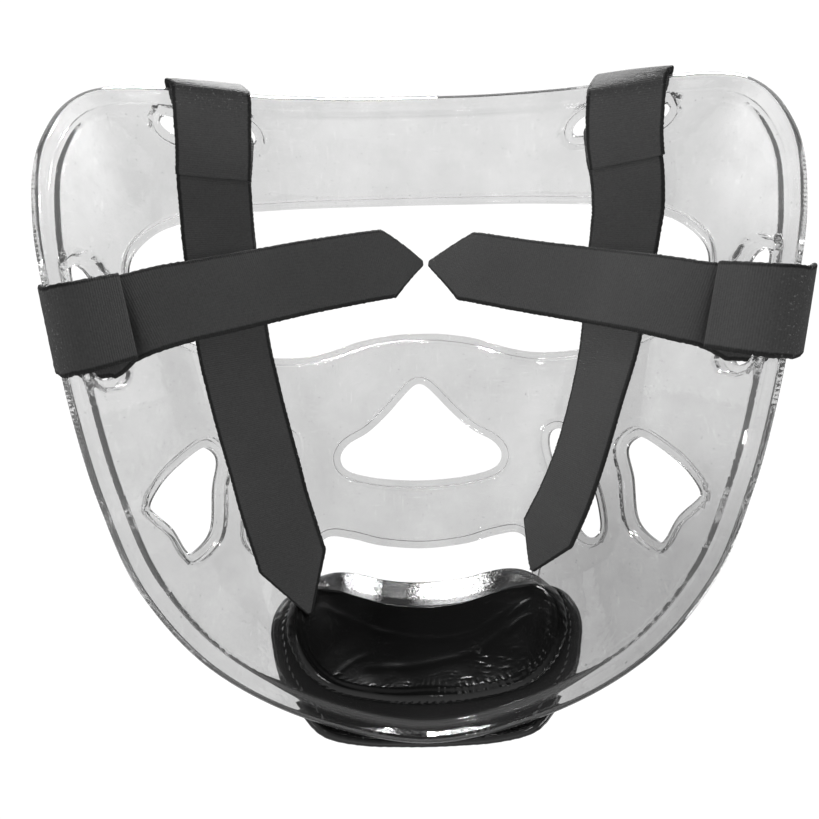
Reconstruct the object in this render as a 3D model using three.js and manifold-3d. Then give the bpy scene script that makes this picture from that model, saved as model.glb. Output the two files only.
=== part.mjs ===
// A clear face mask for a taekwondo headguard, lying on its front with the hollow up.
//
// Millimetres. X runs across the face (+X is the wearer's right), +Y runs up the face to the
// forehead, and +Z runs from the front of the mask towards the wearer. The lowest point of the
// mask is at Z = 0, on the surface that it lies on.
//
// The shell is one formed sheet. Its inner face is a bowl worked out from the rim: along each
// straight line from the deepest point out to the rim, the height rises with a power of the
// distance. Everything else is placed on that bowl: openings, slots, cushion, cover and straps.
// A place near the rim is given by its turn (millimetres round the rim from the forehead, with
// +X positive) and by how far it lies below the rim, measured down the wall.

import * as THREE from 'three';
import { mergeVertices } from 'three/addons/utils/BufferGeometryUtils.js';
import Module from 'manifold-3d';

const wasm = await Module();
wasm.setup();

// ---- Driving dimensions ----------------------------------------------------------------

const WALL = 2.6;                 // thickness of the clear sheet
const STEP = 2.2;                 // how far the edge bands are pressed outwards
const DEEPEST = { y: -10, z: 4.8 };   // deepest point of the inner face, on the centre line
const RIM_INSET = 4.4;            // from the rim's outer edge in to the unstepped inner face
const RIM_BAND = 5;               // height of the stepped-out band along the rim
const STEP_RUN = 1.6;             // length over which the wall steps out to a band
const BAND = 3.4;                 // width of the pressed-out band round each opening
const BAND_GRIP = { run: 2.2, bury: 0.9 };   // how far a band runs on inside the sheet
const CUT = { from: -7, to: 12 };            // reach of a cut, measured outwards

// The rim's outer edge, half of it, from the forehead down to the chin.
// power: how sharply the wall turns up on its way to this place on the rim.
const RIM = [
  { x: 0, y: 122, z: 33, power: 5.5 },
  { x: 30, y: 121, z: 35.5, power: 5.5 },
  { x: 58, y: 118.8, z: 43.5, power: 5.2 },
  { x: 84.5, y: 114.4, z: 60, power: 4.8 },
  { x: 105.5, y: 105, z: 80, power: 4.3 },
  { x: 112.5, y: 85, z: 93, power: 4.0 },
  { x: 112, y: 60, z: 99, power: 3.9 },
  { x: 107.3, y: 32, z: 101, power: 3.9 },
  { x: 102.5, y: 3, z: 100, power: 3.9 },
  { x: 97, y: -26, z: 95, power: 3.9 },
  { x: 88.5, y: -56, z: 86, power: 3.8 },
  { x: 70.6, y: -85.6, z: 72, power: 3.8 },
  { x: 40.8, y: -108.8, z: 58, power: 3.8 },
  { x: 0, y: -120, z: 53, power: 3.8 },
];

// Openings in front view, clockwise. A centred opening lists its +X half only, top to bottom.
const EYES = {
  rows: [
    [0, 84.5], [38, 83.5], [64, 80.5], [79, 76.5], [89, 69.5], [94.5, 60], [96, 49], [92.5, 36],
    [82, 27], [66, 23.5], [50, 23], [39, 25], [24, 29.7], [10, 31.9], [0, 32.2],
  ],
  centred: true, middle: [0, 57], points: 40,
};
const NOSE = {
  rows: [
    [0, 10.8], [4.5, 8.2], [14, -2], [22, -9.2], [30.5, -14.3], [33.6, -19.8], [30.3, -25.4],
    [18, -29], [0, -30.4],
  ],
  centred: true, middle: [0, -16], points: 24,
};
const MOUTH = {
  rows: [
    [0, -58.4], [17, -56.6], [29, -53], [37.5, -51.3], [41.8, -55], [42, -65], [37, -72],
    [20, -75], [0, -76],
  ],
  centred: true, middle: [0, -67], points: 28,
};
const CHEEK = {
  rows: [
    [76.4, -12], [78.6, -12.4], [82.4, -17.2], [85, -22.2], [86.4, -28.2], [85.7, -31],
    [82.3, -37.4], [79.2, -45.4], [77.4, -46.8], [74, -41], [74.2, -26.5], [73.8, -16.5],
  ],
  middle: [79, -28], points: 18,
};
const SIDE_VENT = {
  rows: [
    [53.2, -9.4], [57, -10], [60.4, -17.5], [64.4, -32], [65.3, -42.5], [64.4, -48],
    [61.6, -50.2], [58.6, -47.2], [55.4, -36], [52, -21], [51.4, -13],
  ],
  middle: [58.5, -31], points: 18,
};

// Strap slots, with round ends, along the rim.
const TOP_SLOT = { turn: 85.5, below: 17.3, length: 36, width: 10 };
const SIDE_SLOT = { turn: 195.7, below: 16, length: 38.5, width: 10 };
const SLOT_POINTS = 16;

// The four hook-and-loop tapes. Each is one length: it is sewn to its own tail, runs up inside
// the rim, over the lip, down the outside and in through the slot, and ends in a free tail.
// turn: where it crosses the rim. slant: how much the turn grows for each millimetre down.
// slack: how far it stands off the outside of the rim. crest: how far it rises over the lip.
// across: the way its clockwise edge lies in front view while it arches over the lip.
// over: from the sewn end to the outside of the lip. tail: from the slot to the point.
// Rows are [x, y, z, lean]: a place on the middle line, and the degrees by which the
// clockwise edge is raised.
const TAPE = { width: 25, thick: 1.5, clear: 0.75 };
const TIP_SHARE = 0.03;           // how much of the width is left at the very point
const TAPES = {
  forehead_strap_left: {
    side: -1, turn: 76.6, slant: 0.36, slack: 0, crest: 2.6, slot: TOP_SLOT, across: [1, -0.03],
    over: [
      [-73.4, 85.9, 46.9, -16], [-72.2, 94.9, 50, -16], [-71.3, 102, 54, -14],
      [-70.3, 107, 57.8, -13], [-70, 110.6, 59.6, -13], [-71, 113.6, 58.2, -16],
    ],
    tail: [
      [-72.7, 96.2, 44, -23], [-73.8, 86.5, 44.4, -18], [-73.8, 80.6, 43.6, -18],
      [-73.7, 74.6, 42.6, -20], [-73.2, 63.7, 42, -16], [-71.1, 45.8, 42.5, -12],
      [-68.4, 25.3, 43.6, -10], [-65.7, 10.5, 42.6, -8], [-62.7, -4.3, 41, -6],
      [-59.2, -19.4, 39.6, -4], [-55.7, -34.6, 38.8, -3],
    ],
    end: [-49.2, -55.8, 40, 0], tip: [-42.8, -73.9, 43.5, 0],
  },
  forehead_strap_right: {
    side: 1, turn: 80, slant: 0.36, slack: 0, crest: 2.6, slot: TOP_SLOT, across: [1, 0.03],
    over: [
      [76.4, 87.8, 47.2, 27], [74.7, 94, 50.7, 22], [73.6, 99, 54.7, 17], [72.8, 104.2, 58.7, 13],
      [72.7, 108.2, 60.4, 12], [73.8, 111.8, 59, 15],
    ],
    tail: [
      [75.4, 94.3, 44.9, 30], [77, 86.5, 44.3, 29], [77.8, 80, 43, 29], [78.1, 72, 41.5, 29],
      [77.4, 64, 39.6, 32], [76.2, 54, 38.2, 36], [74.7, 43.3, 37, 40], [71.8, 22.7, 35.2, 50],
      [66.9, 3, 33.6, 57], [60.9, -18, 32, 58], [54.4, -35, 31.2, 55],
    ],
    end: [47.6, -49, 30.6, 52], tip: [41.6, -63.6, 29.2, 50],
  },
  side_strap_left: {
    side: -1, turn: 201, slant: 0, slack: 0, crest: 1.6, slot: SIDE_SLOT, across: [-0.2, 0.98],
    over: [
      [-87.6, 29.8, 93, 0], [-90.4, 28.3, 97, 0], [-93.8, 26.6, 101.2, 0],
      [-98, 25.2, 104.2, 0], [-102, 24.6, 104.6, 0], [-105.2, 24.1, 103.4, 0],
    ],
    tail: [
      [-96.2, 27.4, 85.4, 0], [-92.4, 28.6, 88, 0], [-88.4, 30.2, 88.6, 0], [-83.8, 32.4, 85.4, 0],
      [-77, 35.4, 79.4, 0], [-66, 39.4, 69.6, 0], [-52.3, 44.2, 59, 0], [-36.7, 48.9, 50, 0],
    ],
    end: [-10.8, 55.2, 37, 0], tip: [1.9, 56.6, 29.4, 0],
  },
  side_strap_right: {
    side: 1, turn: 200.5, slant: 0, slack: 0.8, crest: 3, slot: SIDE_SLOT, across: [-0.2, -0.98],
    over: [
      [86.2, 29, 93.2, 0], [89.4, 27.8, 97.8, 0], [92.8, 26.4, 102.6, 0], [97.2, 25.2, 106.2, 0],
      [101.6, 24.7, 107.2, 0], [105.6, 24.4, 106, 0],
    ],
    tail: [
      [95, 27, 85.6, 0], [91, 28.2, 87.9, 0], [87, 29.8, 87.9, 0], [82, 31.6, 84.4, 0],
      [74.6, 34.8, 77.6, 0], [66, 38.2, 69, 0], [56.5, 41.7, 60, 0], [38.2, 47.4, 48, 0],
    ],
    end: [18, 53.6, 37, 0], tip: [4.6, 56.4, 29.4, 0],
  },
};

// The padding of the chin. Outlines are in front view, +X half, top to bottom; rows with a
// bearing follow the rim instead, in degrees from the forehead and millimetres below the rim.
const CUSHION = {
  rows: [
    [0, -73], [26, -72.6], [44, -72.4], [51, -75.5], [50.4, -83.5], [45, -91], [32.5, -101.5],
    [17, -107.4], [0, -109],
  ],
  centred: true, middle: [0, -89], points: 30,
};
const CUSHION_SECTION = [
  // share of the way out from the middle, and height above the wall
  [1, 1], [1, 3.5], [0.96, 6.2], [0.88, 9], [0.76, 11.4], [0.55, 12.8], [0.3, 13.2],
];
const CUSHION_BASE = [0.25, 0.5, 0.7, 0.86];   // shares of the way out, under the cushion
const CUSHION_CLEAR = 0.9;
const COVER = {
  rows: [[0, -77], [28, -76], [47, -71.5], [54, -71], [56.6, -77], [54.6, -88], [48.5, -97.5]],
  bearings: [156, 164, 172, 180], below: 3.2, middle: [0, -92], points: 34,
};
const COVER_OUT = { near: 5.4, far: 10.4, edge: 9 };
const BINDING = { width: 6, gap: 0.5 };

// ---- The bowl --------------------------------------------------------------------------

/** The +X half of a loop, top to bottom, made into the whole loop, clockwise. */
function wholeLoop(half, mirror) {
  return half.concat(half.slice(1, -1).reverse().map(mirror));
}

/** A smooth closed curve through points. */
function closedCurve(points) {
  return new THREE.CatmullRomCurve3(points, true, 'catmullrom', 0.5);
}

const RIM_ROWS = wholeLoop(RIM, (row) => ({ ...row, x: -row.x }));
const rimEdge = closedCurve(RIM_ROWS.map(({ x, y, z }) => new THREE.Vector3(x, y, z)));
const rimPower = closedCurve(RIM_ROWS.map(({ power }) => new THREE.Vector3(power, 0, 0)));

/** Bearing of a place seen from the deepest point: 0 at the forehead, PI at the chin. */
function bearingOf(x, y) {
  return Math.atan2(Math.abs(x), y - DEEPEST.y);
}

/** Where the unstepped inner face meets the rim, at even steps round the +X half. */
const RIM_STEPS = 1500;
const rimTable = [];
for (let i = 0; i <= RIM_STEPS; i += 1) {
  const t = i / RIM_STEPS / 2;
  const edge = rimEdge.getPoint(t);
  const bearing = i === RIM_STEPS ? Math.PI : bearingOf(edge.x, edge.y);
  const reach = Math.hypot(edge.x, edge.y - DEEPEST.y) - RIM_INSET;
  const point = new THREE.Vector3(
    reach * Math.sin(bearing), DEEPEST.y + reach * Math.cos(bearing), edge.z);
  const turn = i === 0 ? 0 : rimTable[i - 1].turn + point.distanceTo(rimTable[i - 1].point);
  rimTable.push({ bearing, reach, z: edge.z, power: rimPower.getPoint(t).x, turn, point });
}

/** The rim at a value of one of its rising columns, bearing or turn. */
function rimAt(column, value) {
  let low = 0;
  let high = RIM_STEPS;
  while (high - low > 1) {
    const middle = (low + high) >> 1;
    if (rimTable[middle][column] <= value) low = middle;
    else high = middle;
  }
  const [a, b] = [rimTable[low], rimTable[high]];
  const share = (value - a[column]) / (b[column] - a[column]);
  const mix = (name) => a[name] + (b[name] - a[name]) * share;
  return { bearing: mix('bearing'), reach: mix('reach'), z: mix('z'), power: mix('power') };
}

/** Height of the inner face over a place in front view. */
function bowl(x, y) {
  const rim = rimAt('bearing', bearingOf(x, y));
  const share = Math.hypot(x, y - DEEPEST.y) / rim.reach;
  return DEEPEST.z + (rim.z - DEEPEST.z) * share ** rim.power;
}

/** The direction straight out of the mask, away from the wearer, at a place on the bowl. */
function outward(x, y) {
  const step = 0.05;
  const slopeX = (bowl(x + step, y) - bowl(x - step, y)) / (2 * step);
  const slopeY = (bowl(x, y + step) - bowl(x, y - step)) / (2 * step);
  return new THREE.Vector3(slopeX, slopeY, -1).normalize();
}

/** The point that lies `out` millimetres outside the inner face at a place in front view. */
function skin(x, y, out) {
  return new THREE.Vector3(x, y, bowl(x, y)).addScaledVector(outward(x, y), out);
}

/** The place in front view that lies `below` millimetres down the wall from the rim. */
function wallPlace(rim, below, side = 1) {
  const steps = 60;
  let share = 1;
  for (let i = 0; i < steps; i += 1) {
    const slope = (rim.z - DEEPEST.z) * rim.power * share ** (rim.power - 1);
    share -= below / steps / Math.hypot(rim.reach, slope);
  }
  const run = rim.reach * share;
  return [side * run * Math.sin(rim.bearing), DEEPEST.y + run * Math.cos(rim.bearing)];
}

/** The place at a turn round the rim and a distance below it. */
function rimPlace(turn, below) {
  return wallPlace(rimAt('turn', Math.abs(turn)), below, Math.sign(turn) || 1);
}

// ---- Solids from loops and grids -------------------------------------------------------

/** A closed body from vertices and quads given as index lists, turned so that it faces out. */
function body(vertices, faces) {
  const triangles = [];
  for (const face of faces) {
    for (let i = 2; i < face.length; i += 1) triangles.push([face[0], face[i - 1], face[i]]);
  }
  let volume = 0;
  for (const [a, b, c] of triangles) {
    volume += vertices[a].dot(new THREE.Vector3().crossVectors(vertices[b], vertices[c]));
  }
  if (volume < 0) triangles.forEach((triangle) => triangle.reverse());
  const geometry = new THREE.BufferGeometry();
  geometry.setAttribute('position',
    new THREE.Float32BufferAttribute(vertices.flatMap((v) => [v.x, v.y, v.z]), 3));
  geometry.setIndex(triangles.flat());
  return geometry;
}

/** A body skinned over loops of equal length, open-ended loops capped, or joined in a ring. */
function skinned(loops, ring = false) {
  const count = loops[0].length;
  const vertices = loops.flat();
  const faces = [];
  const last = ring ? loops.length : loops.length - 1;
  for (let i = 0; i < last; i += 1) {
    const here = i * count;
    const next = ((i + 1) % loops.length) * count;
    for (let j = 0; j < count; j += 1) {
      const k = (j + 1) % count;
      faces.push([here + j, here + k, next + k, next + j]);
    }
  }
  if (!ring) {
    [loops[0], loops.at(-1)].forEach((loop, end) => {
      const middle = new THREE.Vector3();
      loop.forEach((v) => middle.addScaledVector(v, 1 / count));
      const start = end * (loops.length - 1) * count;
      vertices.push(middle);
      for (let j = 0; j < count; j += 1) {
        const k = (j + 1) % count;
        const pair = end ? [start + j, start + k] : [start + k, start + j];
        faces.push([vertices.length - 1, ...pair]);
      }
    });
  }
  return body(vertices, faces);
}

/** The manifold of a geometry, for joining and cutting. */
function solid(geometry) {
  const merged = mergeVertices(geometry, 1e-4);
  return new wasm.Manifold(new wasm.Mesh({
    numProp: 3,
    vertProperties: new Float32Array(merged.attributes.position.array),
    triVerts: new Uint32Array(merged.index.array),
  }));
}

/** The geometry of a manifold. */
function geometryOf(manifold) {
  const mesh = manifold.getMesh();
  const geometry = new THREE.BufferGeometry();
  geometry.setAttribute('position', new THREE.Float32BufferAttribute(mesh.vertProperties, 3));
  geometry.setIndex(Array.from(mesh.triVerts));
  return geometry;
}

// ---- Outlines on the bowl --------------------------------------------------------------

/** The smooth outline of an opening, as evenly spaced places in front view, clockwise. */
function outlineOf({ rows, centred, points }, side = 1) {
  const loop = centred ? wholeLoop(rows, ([x, y]) => [-x, y]) : rows;
  const curve = closedCurve(loop.map(([x, y]) => new THREE.Vector3(x, y, 0)));
  const places = curve.getSpacedPoints(points).slice(0, -1).map(({ x, y }) => [side * x, y]);
  return side < 0 ? places.reverse() : places;
}

/** The outline of a slot with round ends along the rim, clockwise. */
function slotOutline({ turn, below, length, width }, side) {
  const places = [];
  const half = SLOT_POINTS / 2;
  for (let i = 0; i < SLOT_POINTS; i += 1) {
    const end = i < half ? 1 : -1;
    const angle = Math.PI / 2 - ((i % half) / (half - 1)) * Math.PI;
    const along = end * (length / 2 - width / 2 + (width / 2) * Math.cos(angle));
    const down = -end * (width / 2) * Math.sin(angle);
    places.push(rimPlace(side * turn + along, below + down));
  }
  return places;
}

/** An outline moved outwards along the bowl by `grow` millimetres. */
function grown(outline, grow) {
  return outline.map(([x, y], i) => {
    const [before, after] = [outline.at(i - 1), outline[(i + 1) % outline.length]];
    const along = skin(...after, 0).sub(skin(...before, 0));
    const away = along.cross(outward(x, y)).normalize();
    return [x + away.x * grow, y + away.y * grow];
  });
}

/** An outline drawn in towards a middle. */
function shrunk(outline, [middleX, middleY], share) {
  return outline.map(([x, y]) => [middleX + (x - middleX) * share, middleY + (y - middleY) * share]);
}

/** The loop that lies `out` outside the inner face over an outline. */
function lifted(outline, out) {
  return outline.map(([x, y]) => skin(x, y, out));
}

/** A moulding round an outline, with its section given as closed rows of [grow, out]. */
function moulding(outline, section) {
  return skinned(section.map(([grow, out]) => lifted(grown(outline, grow), out)), true);
}

// Shares of the way out from a plug's middle at which its faces follow the bowl.
const PLUG_SHARES = [0.12, 0.25, 0.38, 0.5, 0.62, 0.74, 0.84, 0.92, 1];

/** A plug that fills an outline from one distance outside the inner face to another. */
function plug(outline, middle, from, to) {
  const floor = PLUG_SHARES.map((share) => lifted(shrunk(outline, middle, share), from));
  const roof = PLUG_SHARES.map((share) => lifted(shrunk(outline, middle, share), to)).reverse();
  return skinned([...floor, ...roof]);
}

// ---- The shell -------------------------------------------------------------------------

const COLUMNS = 60;
const FIRST_REACH = 8;            // radius of the grid's own hole, inside the nose vent

// How far below the rim the grid's rows lie, after the two that make the rim's step.
const WALL_ROWS = [15, 23, 30, 37, 45, 54, 64, 76, 90, 106];

/** The formed sheet before its openings: a grid of columns round the rim by rows down it. */
function blankSheet() {
  const rows = [0, RIM_BAND, RIM_BAND + STEP_RUN, ...WALL_ROWS];
  const inner = [];
  const outer = [];
  for (let i = 0; i < COLUMNS; i += 1) {
    const t = (i + 0.5) / COLUMNS;
    const edge = rimEdge.getPoint(t);
    const rim = rimAt('bearing', bearingOf(edge.x, edge.y));
    const side = Math.sign(edge.x);
    const places = rows.map((below) => wallPlace(rim, below, side));
    places.push([side * FIRST_REACH * Math.sin(rim.bearing),
      DEEPEST.y + FIRST_REACH * Math.cos(rim.bearing)]);
    const out = places.map((_, row) => (row < 2 ? STEP : 0));
    inner.push(places.map(([x, y], row) => skin(x, y, out[row])));
    outer.push(places.map(([x, y], row) => skin(x, y, out[row] + WALL)));
  }
  return skinned(inner.map((column, i) => [...column, ...outer[i].reverse()]), true);
}

/** The clear shell with every opening and its pressed-out band. */
function faceShell() {
  const openings = [EYES, NOSE, MOUTH].map((opening) => [outlineOf(opening), opening.middle]);
  for (const side of [1, -1]) {
    for (const opening of [CHEEK, SIDE_VENT]) {
      const [x, y] = opening.middle;
      openings.push([outlineOf(opening, side), [side * x, y]]);
    }
    for (const slot of [TOP_SLOT, SIDE_SLOT]) {
      openings.push([slotOutline(slot, side), rimPlace(side * slot.turn, slot.below)]);
    }
  }
  const { run, bury } = BAND_GRIP;
  const band = [
    [0, STEP], [BAND - 0.4, STEP], [BAND, bury], [BAND + run, bury], [BAND + run, WALL - bury],
    [BAND, WALL + STEP], [0, WALL + STEP],
  ];
  let shell = solid(blankSheet());
  for (const [outline, middle] of openings) {
    shell = shell.subtract(solid(plug(grown(outline, BAND), middle, CUT.from, CUT.to)));
  }
  for (const [outline] of openings) shell = shell.add(solid(moulding(outline, band)));
  return geometryOf(shell);
}

// ---- Tapes -----------------------------------------------------------------------------

/** Rows of a tape from the outside of the lip to the inner side of its slot. */
function wrapRows({ side, turn, slant, slack, crest, slot }) {
  const away = STEP + WALL + TAPE.clear + TAPE.thick / 2 + slack;
  return [
    [-crest, away - 0.9], [0.6, away], [4.5, away], [9, away],
    [slot.below - 2.6, away - slack / 2 - 0.3], [slot.below - 0.8, 3.6],
    [slot.below + 0.6, 0.9], [slot.below + 2.2, -1.4],
  ].map(([below, out]) => ({ turn: side * (turn + slant * below), below, out }));
}

/** One tape: a ribbon with a pointed end, closed all round. */
function tape(name) {
  const { over, tail, end, tip, across: [acrossX, acrossY], ...wrap } = TAPES[name];
  const rows = [...over, ...wrapRows(wrap), ...tail, end, tip];
  const offsets = [-1, 0, 1].map((share) => share * TAPE.width / 2);
  const middles = rows.map((row) => (
    Array.isArray(row) ? new THREE.Vector3(...row) : skin(...rimPlace(row.turn, row.below), row.out)));
  const headings = middles.map((_, i) => new THREE.Vector3().subVectors(
    middles[Math.min(i + 1, rows.length - 1)], middles[Math.max(i - 1, 0)]).normalize());
  const sections = rows.map((row, i) => {
    if (!Array.isArray(row)) {
      return offsets.map((offset) => skin(...rimPlace(row.turn + offset, row.below), row.out));
    }
    const level = new THREE.Vector3(-headings[i].y, headings[i].x, 0);
    if (i < over.length) level.set(acrossX, acrossY, 0);
    const raised = i < over.length ? new THREE.Vector3(0, 0, 1)
      : new THREE.Vector3().crossVectors(headings[i], level).normalize();
    const lean = THREE.MathUtils.degToRad(row[3]);
    const across = level.setLength(Math.cos(lean)).addScaledVector(raised, Math.sin(lean));
    const share = i === rows.length - 1 ? TIP_SHARE : 1;
    return offsets.map((offset) => middles[i].clone().addScaledVector(across, offset * share));
  });
  return skinned(sections.map((section, i) => {
    const across = new THREE.Vector3().subVectors(section.at(-1), section[0]);
    const lift = new THREE.Vector3().crossVectors(headings[i], across).setLength(TAPE.thick / 2);
    const near = section.map((v) => v.clone().add(lift));
    const far = section.map((v) => v.clone().sub(lift)).reverse();
    return [...near, ...far];
  }));
}

// ---- Chin padding ----------------------------------------------------------------------

/** The cushion inside the chin: a crowned pad lying on the wall. */
function chinCushion() {
  const outline = outlineOf(CUSHION);
  const at = (share, high) => lifted(shrunk(outline, CUSHION.middle, share), -high);
  const base = CUSHION_BASE.map((share) => at(share, CUSHION_CLEAR));
  return skinned([...base, ...CUSHION_SECTION.map(([share, high]) => at(share, high))]);
}

/** The outline of the outer cover, with its lower edge along the rim. */
function coverOutline() {
  const { rows, bearings, below, points } = COVER;
  const lower = bearings.map((degrees) => (
    wallPlace(rimAt('bearing', THREE.MathUtils.degToRad(degrees)), below)));
  return outlineOf({ rows: [...rows, ...lower], centred: true, points });
}

/** The padded cover on the outside of the chin, inside its binding. */
function chinCover() {
  const outline = grown(coverOutline(), -BINDING.width);
  const { near, far, edge } = COVER_OUT;
  const at = (share, out) => lifted(shrunk(outline, COVER.middle, share), out);
  return skinned([
    at(0.3, near), at(0.6, near), at(1, near), at(1, edge - 0.6), at(0.95, edge),
    at(0.75, far - 0.4), at(0.35, far),
  ]);
}

/** The binding sewn round the outer cover's edge. */
function chinCoverBinding() {
  const { near, edge } = COVER_OUT;
  const inner = -BINDING.width + BINDING.gap;
  return moulding(coverOutline(), [
    [inner, near], [0, near], [0.3, (near + edge) / 2], [-0.6, edge - 0.2], [inner, edge - 0.1],
  ]);
}

// ---- Assembly --------------------------------------------------------------------------

const CLEAR = new THREE.MeshStandardMaterial({
  color: 0xdcdedf, roughness: 0.12, metalness: 0, transparent: true, opacity: 0.35 });
const TAPE_CLOTH = new THREE.MeshStandardMaterial({ color: 0x2b2b2d, roughness: 0.9, metalness: 0 });
const VINYL = new THREE.MeshStandardMaterial({ color: 0x0c0c0d, roughness: 0.3, metalness: 0 });

/** A named mesh. */
function piece(name, geometry, material) {
  const mesh = new THREE.Mesh(geometry, material);
  mesh.name = name;
  return mesh;
}

const mask = new THREE.Group();
mask.add(piece('face_shell', faceShell(), CLEAR));
mask.add(piece('chin_cushion', chinCushion(), VINYL));
mask.add(piece('chin_cover', chinCover(), VINYL));
mask.add(piece('chin_cover_binding', chinCoverBinding(), VINYL));
for (const name of Object.keys(TAPES)) mask.add(piece(name, tape(name), TAPE_CLOTH));

export default mask;
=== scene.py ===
# %% [markdown]
# # A clear face mask for a taekwondo headguard
#
# The mask lies on its front on a white table, hollow side up. Its pieces are a clear
# formed shell, four hook-and-loop tapes, a vinyl cushion inside the chin, a padded cover
# outside the chin, the binding round that cover, and the binding's stitches.
#
# Every piece is a surface worked out in numpy from a few named tables, in millimetres.
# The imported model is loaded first, as the frame that the new pieces have to fit.

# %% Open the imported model
import math

import bpy
import numpy as np
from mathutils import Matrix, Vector
from mathutils.geometry import delaunay_2d_cdt


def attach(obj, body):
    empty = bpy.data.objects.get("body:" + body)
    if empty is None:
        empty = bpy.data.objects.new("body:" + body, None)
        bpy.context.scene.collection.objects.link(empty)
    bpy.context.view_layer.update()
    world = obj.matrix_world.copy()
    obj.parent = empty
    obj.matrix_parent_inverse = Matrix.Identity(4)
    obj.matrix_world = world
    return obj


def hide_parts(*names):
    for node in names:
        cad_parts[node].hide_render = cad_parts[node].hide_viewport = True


MM = 0.001
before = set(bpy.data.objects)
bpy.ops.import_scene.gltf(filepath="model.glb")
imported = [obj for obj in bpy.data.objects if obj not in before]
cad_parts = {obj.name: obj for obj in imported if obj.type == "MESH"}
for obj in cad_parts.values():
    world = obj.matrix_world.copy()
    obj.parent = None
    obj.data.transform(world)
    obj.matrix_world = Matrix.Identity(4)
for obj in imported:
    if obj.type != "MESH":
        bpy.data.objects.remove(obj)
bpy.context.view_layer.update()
print("nodes:", sorted(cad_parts))

# %% [markdown]
# ## From arrays to meshes
#
# A mesh is a list of points and a list of faces. Most pieces here are grids, where each
# square of four neighbours is a face. These functions make the faces of a grid, put
# points and faces into a Blender object, and store a number at each of its points.

# %% Mesh helpers
def grid_faces(rows, columns, ring=False, tube=False):
    """Squares between neighbouring points of a rows x columns grid.

    ring joins the last row to the first, and tube the last column to the first."""
    i, j = np.meshgrid(np.arange(rows if ring else rows - 1),
                       np.arange(columns if tube else columns - 1), indexing="ij")
    down, right = (i + 1) % rows, (j + 1) % columns
    corners = [i * columns + j, i * columns + right, down * columns + right, down * columns + j]
    return np.stack([corner.ravel() for corner in corners], axis=1)


def capped_faces(rows, columns):
    """The faces of a tube, and one face that closes each end."""
    ends = [list(range(columns))[::-1], list(range((rows - 1) * columns, rows * columns))]
    return grid_faces(rows, columns, tube=True).tolist() + ends


def piece(name, points, faces, slot=None, uv=None):
    """A smooth mesh object on the part's body from points in millimetres."""
    mesh = bpy.data.meshes.new(name)
    mesh.from_pydata((np.asarray(points) * MM).tolist(), [], [list(f) for f in faces])
    mesh.validate()
    mesh.shade_smooth()
    if uv is not None:
        layer = mesh.uv_layers.new(name="uv")
        corners = np.empty(len(mesh.loops), np.int32)
        mesh.loops.foreach_get("vertex_index", corners)
        layer.data.foreach_set("uv", np.asarray(uv, np.float32)[corners].ravel())
    item = bpy.data.objects.new(name, mesh)
    bpy.context.scene.collection.objects.link(item)
    if slot:
        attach(item, "root")
    print(name, len(mesh.vertices), "points", len(mesh.polygons), "faces")
    return item


def give(item, name, values):
    """A number for every point of a piece, for its material."""
    attribute = item.data.attributes.new(name, "FLOAT", "POINT")
    attribute.data.foreach_set("value", np.ravel(values).astype(np.float32))

# %% [markdown]
# ## Smooth curves
#
# A Catmull-Rom curve joins the few points that a line has to pass through. Between two
# points it is a cubic, and its slope at each point is half of the step from the point
# before to the point after.

# %% Catmull-Rom curves
def curve_at(points, t, closed=False):
    """Points on the curve through `points`, where t counts the points from 0."""
    points = np.asarray(points, float)
    count = len(points)
    t = np.asarray(t, float)
    first = np.floor(t).astype(int) if closed else np.clip(np.floor(t).astype(int), 0, count - 2)
    f = (t - first)[:, None]
    near = [first + k for k in (-1, 0, 1, 2)]
    a, b, c, d = (points[k % count if closed else np.clip(k, 0, count - 1)] for k in near)
    return (b + f * (c - a) / 2 + f ** 2 * (a - 2.5 * b + 2 * c - d / 2)
            + f ** 3 * (1.5 * b - a / 2 - 1.5 * c + d / 2))


def run_along(points):
    """Distance of each point from the first, along the line of points."""
    return np.r_[0, np.cumsum(np.linalg.norm(np.diff(points, axis=0), axis=1))]


def read_at(at, run, rows):
    """Rows of numbers that belong to the distances `run`, read between them at `at`."""
    return np.stack([np.interp(at, run, column) for column in rows.T], axis=1)


def even_loop(points, count):
    """`count` points at equal steps of length round the closed curve through `points`."""
    fine = curve_at(points, np.linspace(0, len(points), 4001), closed=True)
    run = run_along(fine)
    return read_at(np.linspace(0, run[-1], count, endpoint=False), run, fine)


def unit(vectors):
    """Vectors at length 1."""
    return vectors / np.maximum(np.linalg.norm(vectors, axis=-1, keepdims=True), 1e-9)


def whole_loop(half, mirrored=(0,)):
    """The right half of a loop, top to bottom, followed by its mirror, bottom to top."""
    half = np.asarray(half, float)
    mirror = half[1:-1][::-1].copy()
    mirror[:, list(mirrored)] *= -1
    return np.vstack([half, mirror])

# %% [markdown]
# ## The bowl
#
# The shell is formed from one flat sheet. Its inner face is described by its rim: on a
# line from the deepest point to the rim, the height rises with a power of the distance.
# A high power gives a flat floor and a wall that turns up late.

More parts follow.
